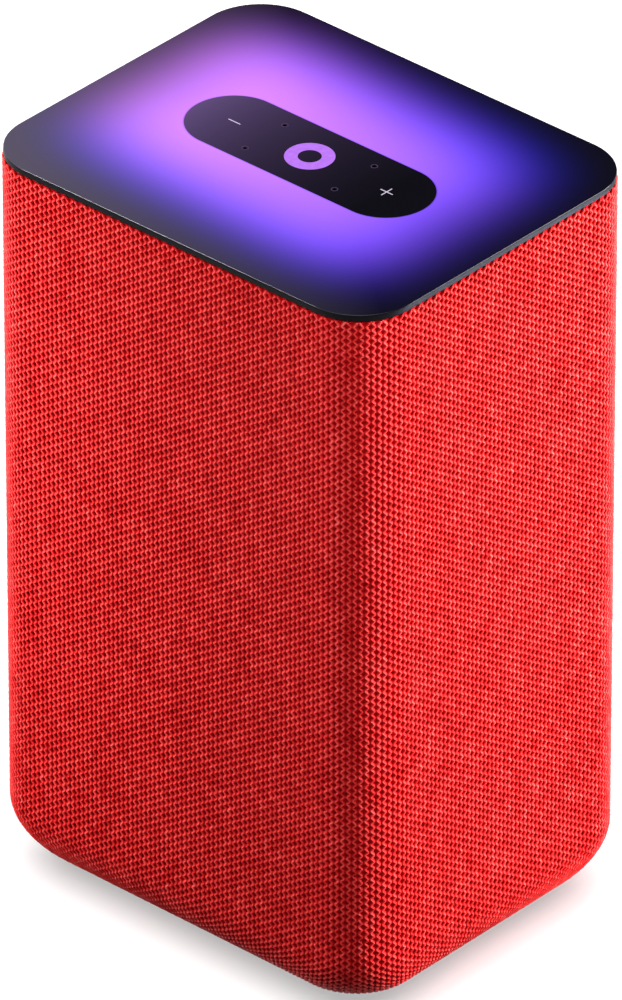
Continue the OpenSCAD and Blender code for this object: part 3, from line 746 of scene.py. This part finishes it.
def plate_material(name, oval):
    """The smoked plate with its glow, or the dark oval where oval is true."""
    t = Tree(name)
    t.set(Base_Color=(0.004, 0.0035, 0.006), Specular_IOR_Level=0.32)
    smudge = t.noise(60, 3)
    colour, x, lit = glow(t)
    t.join(t.math("MULTIPLY_ADD", smudge, 0.08, 0.16), t.shader.inputs["Roughness"])
    if oval:
        # painted reflection: a faint violet sheen, brightest at the oval's left end and gone
        # towards its right
        dim = t.math("EXPONENT", t.math("DIVIDE", x, -20))
        dim = t.math("MAXIMUM", t.math("MULTIPLY_ADD", dim, 0.022, -0.007), 0.0)
        painted_reflection = t.combine(dim, t.math("MULTIPLY", dim, 0.62), t.math("MULTIPLY", dim, 1.7))
        t.join(painted_reflection, t.shader.inputs["Emission Color"])
    else:
        t.join(colour, t.shader.inputs["Emission Color"])
    t.shader.inputs["Emission Strength"].default_value = 1.0
    return t.material


def mark_material(name, colour, strength):
    """A lit mark: a dark face with a glow of its own."""
    t = Tree(name)
    t.set(Base_Color=(0.02, 0.012, 0.03), Roughness=0.2)
    shade = t.noise(700, 2)
    low = tuple(c * 0.85 for c in colour)
    t.join(t.ramp(shade, (0.3, low), (0.7, colour)), t.shader.inputs["Emission Color"])
    t.shader.inputs["Emission Strength"].default_value = strength
    return t.material


paint(
    plate, plate_material("smoked_plate", False),
    moulded("plate_edge", (0.005, 0.005, 0.007), 0.42, grain=7000, depth=0.01, specular=0.06),
)
for face in plate.data.polygons:
    face.material_index = int(face.normal.z < 0.3)
px, py = PILL_AT
pill_loop = [
    (px + math.copysign(PILL_W / 2 - PILL_H / 2, math.cos(a)) + PILL_H / 2 * math.cos(a),
     py + PILL_H / 2 * math.sin(a))
    for a in (2 * math.pi * (i + 0.5) / PILL_STEPS for i in range(PILL_STEPS))
]
oval = flat_piece("touch_oval", [pill_loop] + mic_loops, PLATE_TOP - 0.2 * MM, PLATE_TOP + INLAY)
paint(oval, plate_material("touch_oval", True))

ring = flat_piece(
    "touch_ring", [loop_round(px, py, RING_OUT, 72), loop_round(px, py, RING_IN, 56)],
    MARK_LOW, MARK_HIGH
)


def cross_loop(x, y, length, width, upright):
    """The outline of a bar, or of two crossed bars where upright is true."""
    h, t = length / 2, width / 2
    if not upright:
        return [(x - h, y - t), (x + h, y - t), (x + h, y + t), (x - h, y + t)]
    return [
        (x - h, y - t), (x - t, y - t), (x - t, y - h), (x + t, y - h), (x + t, y - t),
        (x + h, y - t), (x + h, y + t), (x + t, y + t), (x + t, y + h), (x - t, y + h),
        (x - t, y + t), (x - h, y + t),
    ]


minus = flat_piece(
    "touch_minus", [cross_loop(-MARK_X, MARK_Y, *BAR, False)], MARK_LOW, MARK_HIGH
)
plus = flat_piece(
    "touch_plus", [cross_loop(MARK_X, MARK_Y, *BAR, True)], MARK_LOW, MARK_HIGH
)
rims = []
ring_light = mark_material("ring_light", (0.55, 0.20, 1.0), 1.0)
mark_light = mark_material("mark_light", (0.90, 0.80, 1.0), 0.9)
# the mic rims' faint glow is a painted glint round each hole
mic_rim_painted_glint = mark_material("mic_rim_painted_glint", (0.09, 0.06, 0.13), 0.6)
for i, (x, y) in enumerate(MIC_SPOTS):
    rims.append(flat_piece(
        f"mic_rim_{i + 1}", [loop_round(x, y, RIM_OUT, 32), loop_round(x, y, RIM_IN, 24)],
        MARK_LOW, MARK_HIGH
    ))
for piece, material in [(ring, ring_light), (minus, mark_light), (plus, mark_light)] + [
    (rim, mic_rim_painted_glint) for rim in rims
]:
    paint(piece, material)
    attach(piece, "chassis")

# the step under the plate that drops inside the sleeve
LIP_INSET = 6.2 * MM
LIP_CORNER_R = 11.6 * MM
lip = flat_piece(
    "plate_lip",
    [loop_rounded(PLATE_W - LIP_INSET, PLATE_D - LIP_INSET, LIP_CORNER_R)] + mic_loops,
    plate_min.z, PLATE_LOW + 0.02 * MM
)
paint(lip, moulded("plate_lip", (0.012, 0.011, 0.014), 0.3))
for piece in (plate, oval, lip):
    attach(piece, "chassis")
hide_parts("top_plate")

# ---------- the CAD nodes that stay ----------
BLACK = (0.018, 0.018, 0.020)
FINISHES = {
    "rubber": (moulded("rubber", (0.022, 0.022, 0.023), 0.85, grain=4000, depth=0.05), [
        "rubber_foot", "enclosure_gasket", "mic_gaskets", "woofer_surround",
        "radiator_left_surround", "radiator_right_surround"]),
    "plastic": (moulded("plastic", BLACK, 0.55, grain=5200, depth=0.035), [
        "base_cover", "front_cage", "rear_cage", "enclosure_shell", "enclosure_lid", "top_frame",
        "woofer_basket", "tweeter_left_frame", "tweeter_right_frame", "radiator_left_frame",
        "radiator_right_frame", "mute_switch"]),
    "panel": (moulded("panel", (0.020, 0.019, 0.021), 0.5, grain=4200, depth=0.04), [
        "rear_panel"]),
    "button": (moulded("button", (0.045, 0.044, 0.048), 0.4, grain=7000), ["mute_button"]),
    "jack": (moulded("jack", (0.012, 0.012, 0.013), 0.35, grain=9000), ["dc_jack"]),
    "steel": (moulded("steel", (0.46, 0.46, 0.48), 0.32, 1.0, 2600, 0.01, 0.08), [
        "base_screws", "lid_screws", "driver_screws", "board_screws", "woofer_pole_plate",
        "woofer_yoke", "processor_shield"]),
    "brass": (moulded("brass", (0.72, 0.50, 0.20), 0.28, 1.0, 3000, 0.01, 0.08), [
        "dc_pin", "standoffs"]),
    "aluminium": (moulded("aluminium", (0.62, 0.63, 0.65), 0.35, 1.0, 2400, 0.01, 0.06), [
        "heat_sink"]),
    "copper": (moulded("copper", (0.66, 0.30, 0.14), 0.35, 1.0, 3600, 0.02, 0.1), ["woofer_coil"]),
    "ferrite": (moulded("ferrite", (0.055, 0.055, 0.06), 0.6, grain=3000, depth=0.04), [
        "woofer_magnet", "tweeter_left_magnet", "tweeter_right_magnet"]),
    "board": (moulded("board", (0.012, 0.10, 0.035), 0.4, grain=2600), [
        "main_board", "power_board", "button_board"]),
    "white": (moulded("white", (0.72, 0.72, 0.70), 0.45, grain=6000, spread=0.05), [
        "light_tray", "led_board", "diffuser", "leds"]),
    "film": (moulded("film", (0.30, 0.19, 0.05), 0.3, spread=0.15), ["touch_film", "ribbon_cable"]),
    "mask": (moulded("mask", (0.004, 0.004, 0.005), 0.5), ["light_mask"]),
    "sensor": (moulded("sensor", (0.55, 0.55, 0.57), 0.35, 1.0, 4000, 0.01, 0.08), ["microphones"]),
    "foam": (moulded("foam", (0.06, 0.062, 0.066), 0.95, grain=900, depth=0.6, spread=0.4), [
        "damping_foam"]),
    "leads": (moulded("leads", (0.45, 0.01, 0.01), 0.4, grain=5000), ["woofer_leads"]),
    "paper": (moulded("paper", (0.03, 0.03, 0.032), 0.8, grain=2200, depth=0.08), [
        "woofer_cone", "woofer_dust_cap", "radiator_left_cone", "radiator_right_cone"]),
    "cloth": (moulded("cloth", (0.55, 0.34, 0.10), 0.85, grain=3500, depth=0.1), ["woofer_spider"]),
    "silk": (moulded("silk", (0.025, 0.025, 0.03), 0.6, grain=5000, depth=0.05), [
        "tweeter_left_dome", "tweeter_right_dome"]),
    "can": (moulded("can", (0.035, 0.037, 0.05), 0.35, grain=3000), ["capacitors"]),
    "antenna": (moulded("antenna", (0.02, 0.07, 0.19), 0.4, grain=3000), ["wifi_antennas"]),
    "plunger": (moulded("plunger", (0.55, 0.53, 0.46), 0.45, grain=3000, spread=0.06), [
        "mute_plunger"]),
}
for material, names in FINISHES.values():
    for name in names:
        paint(NODES[name], material)


# ---------- floor and light ----------
FLOOR_HALF = 30
WORLD_LEVEL = 0.14
SUN_SPREAD = math.radians(100)
floor = mesh_object(
    "floor",
    [(sx * FLOOR_HALF, sy * FLOOR_HALF, 0) for sx, sy in ((-1, -1), (1, -1), (1, 1), (-1, 1))],
    [(0, 1, 2, 3)], smooth=False
)
floor_t = Tree("floor")
floor_t.set(Roughness=0.9, Specular_IOR_Level=0.1)
floor_t.join(
    floor_t.ramp(floor_t.noise(3, 3), (0.3, (0.93, 0.93, 0.93)), (0.7, (0.95, 0.95, 0.95))),
    floor_t.shader.inputs["Base Color"],
)
floor.data.materials.append(floor_t.material)
# the white floor would brighten the foot of the walls, which the photograph keeps dark
floor.visible_diffuse = False

world = bpy.data.worlds.new("studio")
bpy.context.scene.world = world
world.use_nodes = True
nodes, wires = world.node_tree.nodes, world.node_tree.links
background = nodes["Background"]
direction = nodes.new("ShaderNodeTexCoord").outputs["Generated"]


def world_math(operation, a, b):
    """A math node of the world, where b is a number or another node's output."""
    node = nodes.new("ShaderNodeMath")
    node.operation = operation
    wires.new(a, node.inputs[0])
    if isinstance(b, float):
        node.inputs[1].default_value = b
    else:
        wires.new(b, node.inputs[1])
    return node.outputs[0]


# the sky is dimmer in the direction that the plate mirrors to the camera
toward = nodes.new("ShaderNodeVectorMath")
toward.operation = "DOT_PRODUCT"
toward.inputs[1].default_value = (-0.565, 0.629, 0.534)
wires.new(direction, toward.inputs[0])
shade = nodes.new("ShaderNodeValToRGB")
bright, dim = shade.color_ramp.elements
bright.position, bright.color = 0.55, (1, 1, 1, 1)
dim.position, dim.color = 0.92, (0.06, 0.06, 0.06, 1)
wires.new(toward.outputs["Value"], shade.inputs[0])
height = nodes.new("ShaderNodeSeparateXYZ")
wires.new(direction, height.inputs[0])
above = world_math("GREATER_THAN", height.outputs[2], 0.0)
soft = world_math("MULTIPLY", shade.outputs[0], above)
level = world_math("MULTIPLY", soft, WORLD_LEVEL)
# the backdrop behind the floor's edge is white
seen = world_math(
    "MAXIMUM", level, nodes.new("ShaderNodeLightPath").outputs["Is Camera Ray"]
)
wires.new(seen, background.inputs["Strength"])
background.inputs["Color"].default_value = (1, 1, 1, 1)

# the groups that each kind of piece is in: a light falls on one group only
GROUPS = {"floor": ["floor"], "knit": ["knit", "object"], "hard": ["hard", "object"]}
receivers = {}
for ob in bpy.context.scene.objects:
    if ob.type == "MESH":
        kind = "floor" if ob == floor else "knit" if ob.name.startswith("knit") else "hard"
        for group in GROUPS[kind]:
            if group not in receivers:
                receivers[group] = bpy.data.collections.new(f"light_on_{group}")
            receivers[group].objects.link(ob)


def lamp(name, kind, place, aim, power, receiver):
    """A light that only one group of pieces receives, and that isn't seen itself."""
    light = bpy.data.lights.new(name, kind)
    light.energy = power
    ob = bpy.data.objects.new(name, light)
    bpy.context.scene.collection.objects.link(ob)
    ob.location = place
    ob.rotation_euler = (Vector(place) - Vector(aim)).to_track_quat("Z", "Y").to_euler()
    ob.light_linking.receiver_collection = receivers[receiver]
    ob.visible_camera = False
    return light


def area(name, place, aim, size, power, receiver):
    """A soft rectangular light."""
    light = lamp(name, "AREA", place, aim, power, receiver)
    light.shape = "RECTANGLE"
    light.size, light.size_y = size


# The powers were fitted to colours in the photograph's one view and then changed.
# the front's grazing light, and its fill from above
area("left", (-0.10, -0.13, 0.13), (-0.02, -0.04, 0.12), (0.04, 0.2), 0.33, "knit")
area("high", (0.02, -0.22, 0.42), (0.0, -0.04, 0.12), (0.1, 0.1), 0.33, "knit")
# the near corner: its right flank, and the thin line down its edge
area("corner_side", (0.26, -0.08, 0.2), (0.05, -0.03, 0.12), (0.06, 0.2), 0.12, "knit")
area("corner_line", (0.092, -0.078, 0.12), (0.05, -0.04, 0.11), (0.04, 0.2), 0.014, "knit")
# the right side, which the photograph overexposes
area("right", (0.40, 0.42, 0.28), (0.05, 0.0, 0.10), (0.3, 0.3), 5.5, "object")
area("right_front", (0.28, 0.17, 0.16), (0.05, 0.02, 0.11), (0.1, 0.25), 2.2, "knit")
# from above on the whole object, and on the two sides that the photograph doesn't show
area("top", (0.0, 0.0, 0.9), (0, 0, 0), (0.5, 0.5), 2.2, "object")
area("rear_left", (-0.45, 0.35, 0.30), (0.0, 0.0, 0.10), (0.3, 0.3), 3.0, "knit")
# highlights on the plate's edge
area("edge_line", (-0.34, -0.31, 0.55), (0, 0, 0.18), (0.12, 0.12), 3.5, "hard")
area("edge_right", (0.227, 0.19, 0.03), (0.058, 0.0, 0.188), (0.2, 0.08), 1.1, "hard")
bpy.data.lights["edge_right"].color = (0.74, 0.80, 1.0)
# the photograph has no shadow: most of the floor's light passes through the object
for name, power in (("floor_light", 1.4), ("floor_fill", 3.5)):
    sun = lamp(name, "SUN", (0, 0, 2), (0, 0, 0), power, "floor")
    sun.angle = SUN_SPREAD
bpy.data.objects["floor_fill"].light_linking.blocker_collection = receivers["floor"]
